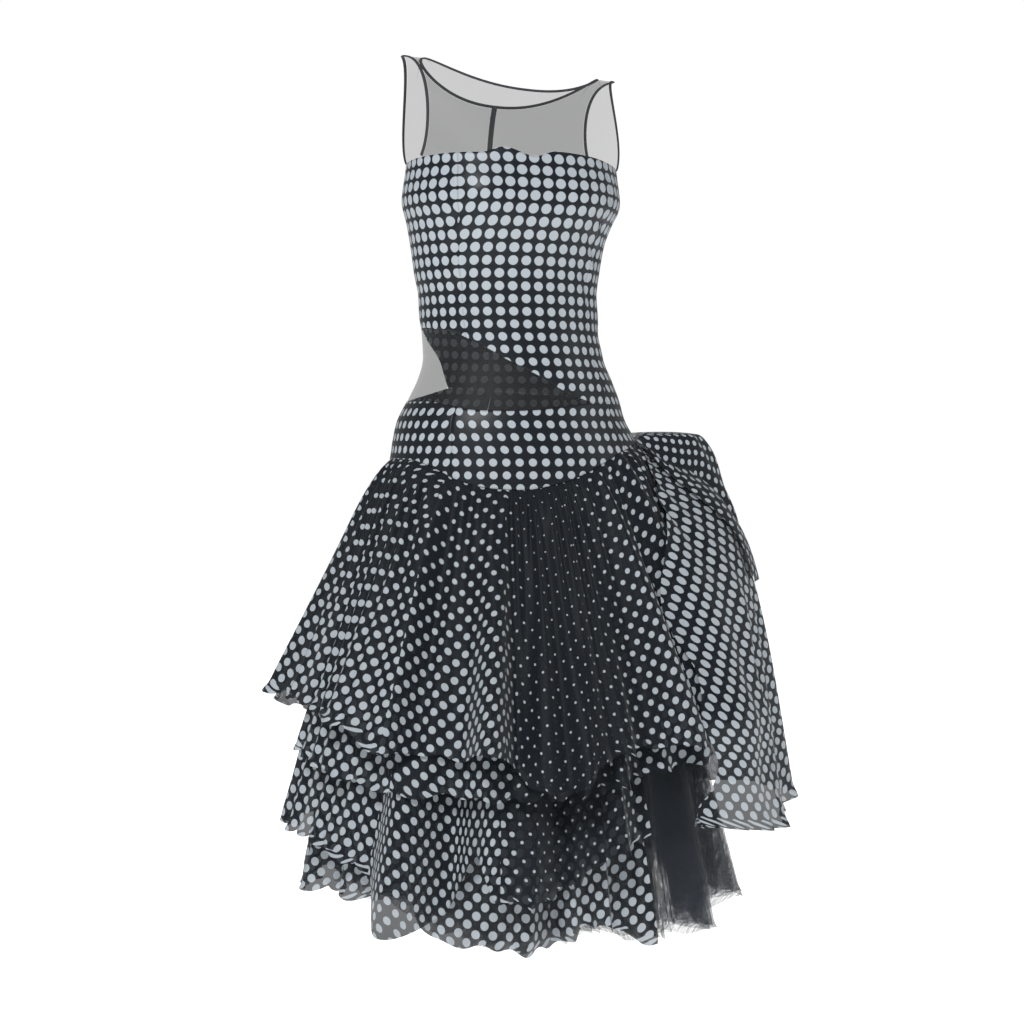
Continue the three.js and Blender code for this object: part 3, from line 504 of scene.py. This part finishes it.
def dotted(name, ground, dots, pitch, turned, alphas, roughness, sheen):
    """Cloth printed with round dots on a square lattice, turned by 45 degrees or not. A point is in a dot
    where its distance from the nearest lattice point is under the radius in the dot attribute."""
    n = Nodes(name)
    uv = n.add("ShaderNodeUVMap", uv_map="cloth").outputs[0]
    place = n.add("ShaderNodeMapping")
    n.put(place.inputs[0], uv)
    place.inputs["Rotation"].default_value[2] = math.radians(45 if turned else 0)
    place.inputs["Scale"].default_value = (1 / pitch, 1 / pitch, 1)
    xyz = n.add("ShaderNodeSeparateXYZ")
    n.put(xyz.inputs[0], place.outputs[0])
    from_centre = [n.math("SUBTRACT", n.math("FRACT", xyz.outputs[k]), 0.5) for k in (0, 1)]
    far = n.math("SQRT", n.math("ADD", *[n.math("MULTIPLY", d, d) for d in from_centre]))
    radius = n.add("ShaderNodeAttribute", attribute_name="dot").outputs["Fac"]
    edge = n.math("SUBTRACT", n.math("DIVIDE", radius, pitch), far)
    inside = n.add("ShaderNodeMapRange", interpolation_type="SMOOTHSTEP")
    n.put(inside.inputs["Value"], edge)
    n.put(inside.inputs["From Min"], -0.02)
    n.put(inside.inputs["From Max"], 0.02)
    inside = inside.outputs["Result"]
    n.put(n.shader.inputs["Base Color"], n.mix(inside, ground, dots))
    n.put(n.shader.inputs["Roughness"], roughness)
    n.put(n.shader.inputs["Sheen Weight"], sheen)
    n.put(n.shader.inputs["Specular IOR Level"], 0.12 if turned else 0.22)
    if alphas[0] < 1:
        span = alphas[1] - alphas[0]
        n.put(n.shader.inputs["Alpha"], n.math("ADD", alphas[0], n.math("MULTIPLY", inside, span)))
    weave = n.add("ShaderNodeTexNoise", noise_dimensions="3D")
    n.put(weave.inputs["Vector"], n.add("ShaderNodeTexCoord").outputs["Object"])
    n.put(weave.inputs["Scale"], 900.0)
    bump = n.add("ShaderNodeBump")
    n.put(bump.inputs["Height"], weave.outputs[0])
    n.put(bump.inputs["Strength"], 0.08)
    n.put(bump.inputs["Distance"], 0.0004)
    n.put(n.shader.inputs["Normal"], bump.outputs[0])
    return n.material


def plain(name, colour, alpha, roughness, sheen=0.0):
    """Plain cloth of one colour, sheer where alpha is under 1."""
    n = Nodes(name)
    n.put(n.shader.inputs["Base Color"], colour)
    n.put(n.shader.inputs["Roughness"], roughness)
    n.put(n.shader.inputs["Sheen Weight"], sheen)
    n.put(n.shader.inputs["Alpha"], alpha)
    return n.material


def net_with_painted_fold_shade(name, alpha):
    """Net with painted fold light and shade: streaks that run down it are painted lighter and darker,
    standing in for the light and shade of its crumpled folds, and the darker ones are also less sheer.
    """
    n = Nodes(name)
    place = n.add("ShaderNodeMapping")
    n.put(place.inputs[0], n.add("ShaderNodeUVMap", uv_map="cloth").outputs[0])
    place.inputs["Scale"].default_value = (70, 16, 1)
    fold_streak_noise = n.add("ShaderNodeTexNoise", noise_dimensions="2D")
    n.put(fold_streak_noise.inputs["Vector"], place.outputs[0])
    n.put(fold_streak_noise.inputs["Detail"], 4.0)
    painted_shade_streaks = n.add("ShaderNodeMapRange")
    n.put(painted_shade_streaks.inputs["Value"], fold_streak_noise.outputs[0])
    n.put(painted_shade_streaks.inputs["From Min"], 0.36)
    n.put(painted_shade_streaks.inputs["From Max"], 0.64)
    painted_shade_streaks = painted_shade_streaks.outputs["Result"]
    # Painted fold shade: the streaks mix the net's colour from a painted lighter colour to a painted darker
    # one
    n.put(n.shader.inputs["Base Color"], n.mix(painted_shade_streaks, NET_PAINTED_LIGHT, NET_PAINTED_SHADE))
    n.put(n.shader.inputs["Roughness"], 0.75)
    n.put(n.shader.inputs["Sheen Weight"], 0.1)
    n.put(n.shader.inputs["Alpha"], n.math("ADD", alpha - 0.16, n.math("MULTIPLY", painted_shade_streaks, 0.36)))
    return n.material


def material(kind):
    """The named material, made at its first use."""
    if kind in bpy.data.materials:
        return bpy.data.materials[kind]
    look = bpy.context.scene.dress_look
    ground, dots = tuple(look.ground) + (1,), tuple(look.dots) + (1,)
    if kind == "dotted satin":
        return dotted(kind, ground, dots, look.satin_pitch, False, (1, 1), 0.4, 0.06)
    if kind == "dotted organza":
        return dotted(kind, ground, dots, look.organza_pitch, True, (look.organza_alpha, 0.96), 0.55, 0.08)
    if kind == "doubled organza":
        return dotted(kind, ground, dots, look.organza_pitch, True, (0.96, 0.99), 0.55, 0.08)
    if kind == "stretch mesh":
        return plain(kind, MESH_GREY, look.mesh_alpha, 0.6, 0.25)
    if kind == "net":
        return net_with_painted_fold_shade(kind, look.net_alpha)
    if kind == "binding":
        return plain(kind, BINDING_BLACK, 1.0, 0.6)
    return plain(kind, ZIP_BLACK, 1.0, 0.4)


class DressLook(bpy.types.PropertyGroup):
    """The dress's colours and print."""

    ground: bpy.props.FloatVectorProperty(
        name="Ground", description="Colour of the cloth between the dots", subtype="COLOR",
        default=(0.0075, 0.0105, 0.0145))
    dots: bpy.props.FloatVectorProperty(
        name="Dots", description="Colour of the dots", subtype="COLOR", default=(0.375, 0.415, 0.45))
    satin_pitch: bpy.props.FloatProperty(
        name="Satin pitch", description="Repeat of the satin's dots", default=0.0155, unit="LENGTH")
    organza_pitch: bpy.props.FloatProperty(
        name="Organza pitch", description="Repeat of the organza's dots", default=0.0150, unit="LENGTH")
    organza_alpha: bpy.props.FloatProperty(
        name="Organza cover", description="How much the organza hides", default=0.9, subtype="FACTOR")
    mesh_alpha: bpy.props.FloatProperty(
        name="Mesh cover", description="How much the stretch mesh hides", default=0.42, subtype="FACTOR")
    net_alpha: bpy.props.FloatProperty(
        name="Net cover", description="How much the net hides", default=0.42, subtype="FACTOR")


class DRESS_OT_satin(bpy.types.Operator):
    """Build the fitted satin panels"""

    bl_idname = "dress.satin"
    bl_label = "Satin panels"

    def execute(self, context):
        panels = [
            ("front_panel", -PRINCESS, PRINCESS, "whole"),
            ("bodice_side_right", -SIDE_BACK, -PRINCESS, "above"),
            ("hip_side_right", -SIDE_BACK, -PRINCESS, "below"),
            ("side_panel_left", PRINCESS, SIDE_BACK, "whole"),
            ("back_panel_left", SIDE_BACK, 180 - ZIP_GAP, "whole"),
            ("back_panel_right", ZIP_GAP - 180, -SIDE_BACK, "whole")]
        for name, start, end, part in panels:
            self.panel(name, start, end, part)
        return {"FINISHED"}

    def panel(self, name, start, end, part):
        """A panel from the satin's top to the hip seam, or its part above or below the inset. A whole panel
        is two grids, above and below the inset, that share their line past the inset's point."""
        angle = np.linspace(start, end, 73)[:, None]
        top, foot = bay_edge(INSET_TOP, angle), bay_edge(INSET_FOOT, angle)
        spans = []
        if part != "below":
            spans.append((curve(BODICE_TOP, 1, angle), top, 81))
        if part != "above":
            spans.append((foot, curve(HIP_SEAM, 1, angle), 41))
        grids = []
        for high, low, rows in spans:
            z = high + (low - high) * np.linspace(0, 1, rows)[None, :]
            grids.append(self.surface(angle, z, (start + end) / 2))
        for k, (points, uv, dot) in enumerate(grids):
            label = name + ("_lower" if k else "")
            stands_for = [] if k else [name]
            piece = build(label, points, uv, dot, material("dotted satin"), stands_for, CLOTH)

    def surface(self, angle, z, middle):
        """The form with shallow drag lines at the waist and puckers beside the princess seams, each a sine
        that fades as a bell curve, with its cloth coordinates and the dots' radius."""
        drag = DRAG["out"] * np.sin(z / DRAG["down"] + angle / DRAG["lean"])
        drag = drag * np.exp(-((z - DRAG["height"]) / DRAG["spread"]) ** 2)
        drag = drag * smooth(np.abs(angle), *DRAG["sides"])
        beside = np.exp(-((np.abs(angle) - PRINCESS) / PUCKER["beside"]) ** 2)
        beside = beside * np.exp(-((z - PUCKER["height"]) / PUCKER["spread"]) ** 2)
        sway = PUCKER["sway"][0] * np.sin(z / PUCKER["sway"][1])
        pucker = PUCKER["out"] * beside * np.sin(z / PUCKER["down"] + np.abs(angle) / PUCKER["lean"] + sway)
        points = form_point(angle, z, drag + pucker)
        u = np.radians(angle - middle) * curve(FORM, 1, z) * SATIN_ROUND
        uv = np.stack(np.broadcast_arrays(u, z), -1)
        dot = SATIN_DOTS["small"] + SATIN_DOTS["more"] * smooth(z, *SATIN_DOTS["between"])
        return points, uv, dot


class DRESS_OT_mesh(bpy.types.Operator):
    """Build the sheer yoke and waist inset"""

    bl_idname = "dress.mesh"
    bl_label = "Sheer mesh"

    def execute(self, context):
        up = np.linspace(1, 0, 33)[None, :]
        bare = STRAP["inner"] / STRAP["outer"]
        inner = bare - STRAP_BREAK["before"]
        middle = np.linspace(-inner, inner, 81)
        strap = np.linspace(bare + STRAP_BREAK["after"], 1, 11)
        half = np.concatenate([np.linspace(YOKE_ZIP_EDGE, inner, 41), strap])
        strips = [("yoke_front", 1, np.concatenate([-strap[::-1], middle, strap])),
                  ("yoke_back_left", -1, half[::-1]), ("yoke_back_right", -1, -half)]
        for name, side, across in strips:
            self.sheer(name, yoke_point(side, across[:, None], up))
        angle = np.linspace(TIP_BACK[0] + INSET_TIP["short"], TIP_FRONT[0] - INSET_TIP["short"], 121)[:, None]
        high, low = bay_edge(INSET_TOP, angle) - SEAM, bay_edge(INSET_FOOT, angle) + SEAM
        share = np.linspace(0, 1, 21)[None, :]
        low = np.minimum(low, high - INSET_TIP["least"])
        self.sheer("waist_inset", form_point(angle, high + (low - high) * share))
        return {"FINISHED"}

    def sheer(self, name, points):
        """One sheer piece from its grid."""
        uv = points[..., [0, 2]]
        piece = build(name, points, uv, 0.0, material("stretch mesh"), [name])


class DRESS_OT_skirt(bpy.types.Operator):
    """Build the gathered tiers and the petticoat"""

    bl_idname = "dress.skirt"
    bl_label = "Skirt"

    def execute(self, context):
        for name, layer in LAYERS.items():
            folds = np.array(layer["folds"], float)
            for part, start, end in layer["panels"]:
                self.panel(name, part, layer["shape"], folds, start, end)
        return {"FINISHED"}

    def panel(self, name, part, shape, folds, start, end):
        """A gathered panel with its large and finer folds, and a hem edge that curls outwards and inwards as
        a circle round the hem's line."""
        count = int((end - start) / PANEL_STEP) + 2
        angle = np.linspace(start, end, count)[:, None]
        share = np.linspace(0, 1, PANEL_ROWS)[None, :] ** ROW_POWER
        top = curve(HIP_SEAM, 1, angle) - SEAM
        length = top - curve(folds, 2, angle)
        s = share * length
        curl = smooth(s, length - CURL["over"], length) ** 2
        turn = math.tau * drifting(angle, CURL)
        out = stand_off(shape, s, FOLD_DEPTH * curve(folds, 1, angle)) + relief(angle, s)
        out = out + CURL["out"] * curl * np.sin(turn)
        z = top - s + CURL["up"] * curl * np.cos(turn)
        points = hip_point(angle, out, z)
        uv = cloth_coordinates(points)
        net = name == "petticoat"
        dot = LARGE_DOT if name == "tier_4" else curve(DOT_SIZES, 1, angle)
        near = SEAM_DOTS["share"]
        dot = 0.0 if net else dot * (near + (1 - near) * smooth(s, *SEAM_DOTS["grow"]))
        node = name + "_" + part
        piece = build(node, points, uv, dot, material("net" if net else "dotted organza"), [node])
        if net:
            self.under_layers(node, angle, s, top, length, out, uv)

    def under_layers(self, node, angle, s, top, length, out, uv):
        """The net's other layers. Each has its own sharp folds, a sine's size with its sign dropped, that
        deepen towards the hem."""
        turns, degrees, shift = NET_FOLDS["drift"]
        up, long = NET_FOLDS["lift"]
        for k, (inside, phase, short) in enumerate(NET_LAYERS):
            drift = turns * np.sin(angle / degrees + shift * phase)
            fold = 1 - 2 * np.abs(np.sin(math.pi * (angle / NET_FOLDS["every"] + phase + drift)))
            depth = NET_FOLDS["out"] * smooth(s, *NET_FOLDS["grow"])
            drop = s * (length - short) / length
            lift = up * np.sin(math.tau * (angle / long + phase)) * s / length
            within = inside * smooth(s, 0, NET_FOLDS["tuck"])
            points = hip_point(angle, out - within + depth * (fold - NET_FOLDS["middle"]), top - drop + lift)
            piece = build(node + "_layer_" + str(k), points, uv, 0.0, material("net"), [])


class DRESS_OT_trims(bpy.types.Operator):
    """Build the bindings, the zip and its slider"""

    bl_idname = "dress.trims"
    bl_label = "Bindings and zip"

    def execute(self, context):
        reach = np.linspace(-STRAP["inner"], STRAP["inner"], 161)
        half = np.linspace(YOKE_ZIP_EDGE * STRAP["outer"], STRAP["inner"], 81)
        for name, side, x in (("neck_binding_front", 1, reach), ("neck_binding_back_left", -1, half),
                              ("neck_binding_back_right", -1, -half)):
            edges = [neck_point(side, x, np.full(x.shape, far)) for far in (0.0, BINDING_WIDTH)]
            self.tape(name, *edges, BINDING_THICK, "binding")
        up = np.linspace(0, 1, 61)
        for name, sign in (("armhole_binding_right", -1.0), ("armhole_binding_left", 1.0)):
            halves = [self.armhole_edges(side, sign, up) for side in (1, -1)]
            inner, outer = (np.concatenate([halves[0][k], halves[1][k][::-1]]) for k in (0, 1))
            self.tape(name, inner, outer, BINDING_THICK, "binding")
        self.zip()
        return {"FINISHED"}

    def armhole_edges(self, side, sign, up):
        """The two edges of an armhole binding on one side of the shoulder: offsets of the yoke's edge across
        its own line, in the surface."""
        edge = yoke_point(side, sign, up)
        away = edge - yoke_point(side, sign * BESIDE_ARMHOLE, up)
        along = np.gradient(edge, axis=0)
        away -= along * ((away * along).sum(-1) / (along ** 2).sum(-1))[:, None]
        away /= np.linalg.norm(away, axis=-1, keepdims=True)
        return edge + SEAM * away, edge + (SEAM + BINDING_WIDTH) * away

    def tape(self, name, first, second, thick, kind):
        """A tape folded over an edge: an ellipse round the line midway between its two edges."""
        middle, across = (first + second) / 2, (second - first) / 2
        normal = np.cross(np.gradient(middle, axis=0), across)
        normal /= np.linalg.norm(normal, axis=-1, keepdims=True)
        turn = np.linspace(0, math.tau, 17)
        points = (middle[:, None] + across[:, None] * np.cos(turn)[None, :, None]
                  + thick * normal[:, None] * np.sin(turn)[None, :, None])
        piece = build(name, points, points[..., [0, 2]], 0.0, material(kind), [name])

    def zip(self):
        """The closed zip down the centre back with a low ridge over its teeth, and its drop-shaped slider."""
        up = np.linspace(1, 0, 41)
        yoke = (yoke_point(-1, YOKE_ZIP_EDGE, up) + yoke_point(-1, -YOKE_ZIP_EDGE, up)) / 2
        heights = np.linspace(curve(BODICE_TOP, 1, 180.0), curve(HIP_SEAM, 1, 180.0), 121)
        line = np.concatenate([neck_point(-1, np.zeros(1), np.zeros(1)), yoke, form_point(180.0, heights)])
        across = np.linspace(-1, 1, 13)[:, None]
        out = ZIP["ridge"] * np.exp(-(across / ZIP["teeth"]) ** 2) + ZIP["proud"]
        points = line[None] + np.stack(np.broadcast_arrays(-across * ZIP["width"] / 2, out, 0.0), -1)
        coordinates = points[..., [0, 2]]
        piece = build("back_zip", points, coordinates, 0.0, material("zip"), ["back_zip"], ZIP["thick"])
        low, high = (np.array(corner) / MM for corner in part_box("zip_slider"))
        turn = np.linspace(0, math.tau, 25)[:, None]
        rise = np.linspace(-math.pi / 2, math.pi / 2, 17)[None, :]
        size = (high - low) / 2
        wide = np.cos(turn) * np.cos(rise) * (1 - ZIP["drop"] * np.sin(rise))
        ball = np.stack(np.broadcast_arrays(wide, np.sin(turn) * np.cos(rise), np.sin(rise)), -1)
        points = (high + low) / 2 + size * ball
        build("zip_slider", points, points[..., [0, 2]], 0.0, material("zip"), ["zip_slider"])


class DRESS_OT_hip(bpy.types.Operator):
    """Build the drape and the puff at the left hip"""

    bl_idname = "dress.hip"
    bl_label = "Hip drape and puff"

    def execute(self, context):
        share = np.linspace(0, 1, 81)[None, :]
        front = curve(DRAPE["front"], 1, share)
        back = DRAPE["back"][0] + (DRAPE["back"][1] - DRAPE["back"][0]) * share
        angle = front + (back - front) * np.linspace(0, 1, 161)[:, None]
        top = curve(HIP_SEAM, 1, angle) - SEAM - CLOTH
        s = share * (top - curve(DRAPE["hem"], 1, angle))
        swing = smooth(angle - front, 0, DRAPE["turn"])
        ripple = np.sin(math.tau * angle / DRAPE_RIPPLE["every"]) * smooth(s, *DRAPE_RIPPLE["grow"])
        curl = smooth(share, DRAPE_RIPPLE["curl_from"], 1) ** 2
        curl = curl * np.sin(math.tau * angle / DRAPE_RIPPLE["curl_every"])
        out = drape_out(angle, s) + DRAPE_RIPPLE["out"] * ripple * swing + DRAPE_RIPPLE["curl"] * curl
        points = hip_point(angle, out, top - s)
        uv = cloth_coordinates(points)
        uv[..., 1] = uv[len(points) // 2, :, 1]
        self.flounce("side_drape", points, uv, DRAPE["dot"], "dotted organza")
        self.puff()
        return {"FINISHED"}

    def puff(self):
        """The puff over the drape: its section carried round the hip, opened by its folds, tucked back to
        the seam at both ends and held clear of the drape below it."""
        turn = np.linspace(PUFF["from"], PUFF["to"], 141)[:, None]
        steps = np.linalg.norm(np.diff(PUFF["section"], axis=0), axis=1)
        steps = np.concatenate([[0], np.cumsum(steps)])
        along = np.linspace(0, steps[-1], 61)[None, :]
        rows = np.column_stack([steps, PUFF["section"]])
        tuck = smooth(turn - PUFF["from"], 0, PUFF["turn"])
        tuck = tuck * smooth(PUFF["to"] - turn, 0, PUFF["turn"])
        first, up = PUFF["section"][0, 0], curve(rows, 2, along)
        stand = first + (curve(rows, 1, along) * (1 + wave(PUFF, turn) / PUFF["open"]) - first) * tuck
        under = drape_out(turn, np.maximum(-up, 0)) + DRAPE["clear"]
        stand = np.where(up < 0, np.maximum(stand, under), stand)
        crumple = sum(size * np.sin(math.tau * (turn / around + along / down))
                      for size, around, down in CRUMPLE["waves"])
        stand = stand + CRUMPLE["out"] * crumple * smooth(along, *CRUMPLE["grow"]) * tuck
        points = hip_point(turn, stand, curve(HIP_SEAM, 1, turn) + up)
        self.flounce("hip_puff", points, cloth_coordinates(points), PUFF["dot"], "doubled organza")

    def flounce(self, name, points, uv, dot, kind):
        """One flounce with its cloth coordinates and dots."""
        piece = build(name, points, uv, dot, material(kind), [name])


class DRESS_OT_stage(bpy.types.Operator):
    """Set up the floor, the lights and the camera"""

    bl_idname = "dress.stage"
    bl_label = "Stage"

    def execute(self, context):
        low, _ = LOADED_BOUNDS
        bpy.ops.mesh.primitive_plane_add(size=FLOOR["size"], location=(0, 0, low[2] - FLOOR["below"]))
        floor = context.object
        floor.name = "floor"
        ground = plain("floor", (0.9, 0.9, 0.9, 1), 1.0, 0.9)
        shader = ground.node_tree.nodes["Principled BSDF"]
        shader.inputs["Emission Color"].default_value = (1, 1, 1, 1)
        shader.inputs["Emission Strength"].default_value = 1.0
        floor.data.materials.append(ground)
        world = bpy.data.worlds.new("studio")
        context.scene.world = world
        world.use_nodes = True
        nodes, links = world.node_tree.nodes, world.node_tree.links
        nodes["Background"].inputs[0].default_value = (1, 1, 1, 1)
        seen = nodes.new("ShaderNodeLightPath").outputs["Is Camera Ray"]
        strength = nodes.new("ShaderNodeMapRange")
        links.new(seen, strength.inputs["Value"])
        strength.inputs["To Min"].default_value = WORLD_LIGHT["lighting"]
        strength.inputs["To Max"].default_value = WORLD_LIGHT["seen"]
        links.new(strength.outputs["Result"], nodes["Background"].inputs[1])
        for name, place, power, size in LAMPS:
            data = bpy.data.lights.new(name, "AREA")
            data.energy, data.size = power, size
            lamp = bpy.data.objects.new(name, data)
            lamp.location = place
            lamp.rotation_euler = (AIM - Vector(place)).to_track_quat("-Z", "Y").to_euler()
            context.scene.collection.objects.link(lamp)
        data = bpy.data.cameras.new("camera")
        data.lens, data.sensor_width = CAMERA["lens"], CAMERA["sensor"]
        camera = bpy.data.objects.new("camera", data)
        camera.location = CAMERA["place"]
        camera.rotation_euler = (AIM - camera.location).to_track_quat("-Z", "Y").to_euler()
        context.scene.collection.objects.link(camera)
        context.scene.camera = camera
        context.scene.cycles.transparent_max_bounces = SHEER_LAYERS
        context.scene.view_settings.view_transform = "Standard"
        return {"FINISHED"}


class DRESS_PT_panel(bpy.types.Panel):
    """Lists the dress's operators"""

    bl_label = "Dress"
    bl_space_type = "VIEW_3D"
    bl_region_type = "UI"
    bl_category = "Dress"

    def draw(self, context):
        for operator in OPERATORS:
            self.layout.operator(operator.bl_idname)


OPERATORS = (DRESS_OT_satin, DRESS_OT_mesh, DRESS_OT_trims, DRESS_OT_skirt, DRESS_OT_hip, DRESS_OT_stage)
CLASSES = (DressLook, *OPERATORS, DRESS_PT_panel)


def register():
    for cls in CLASSES:
        bpy.utils.register_class(cls)
    bpy.types.Scene.dress_look = bpy.props.PointerProperty(type=DressLook)


def unregister():
    del bpy.types.Scene.dress_look
    for cls in reversed(CLASSES):
        bpy.utils.unregister_class(cls)


def main():
    register()
    bpy.ops.dress.satin()
    bpy.ops.dress.mesh()
    bpy.ops.dress.trims()
    bpy.ops.dress.skirt()
    bpy.ops.dress.hip()
    bpy.ops.dress.stage()


if __name__ == "__main__":
    main()
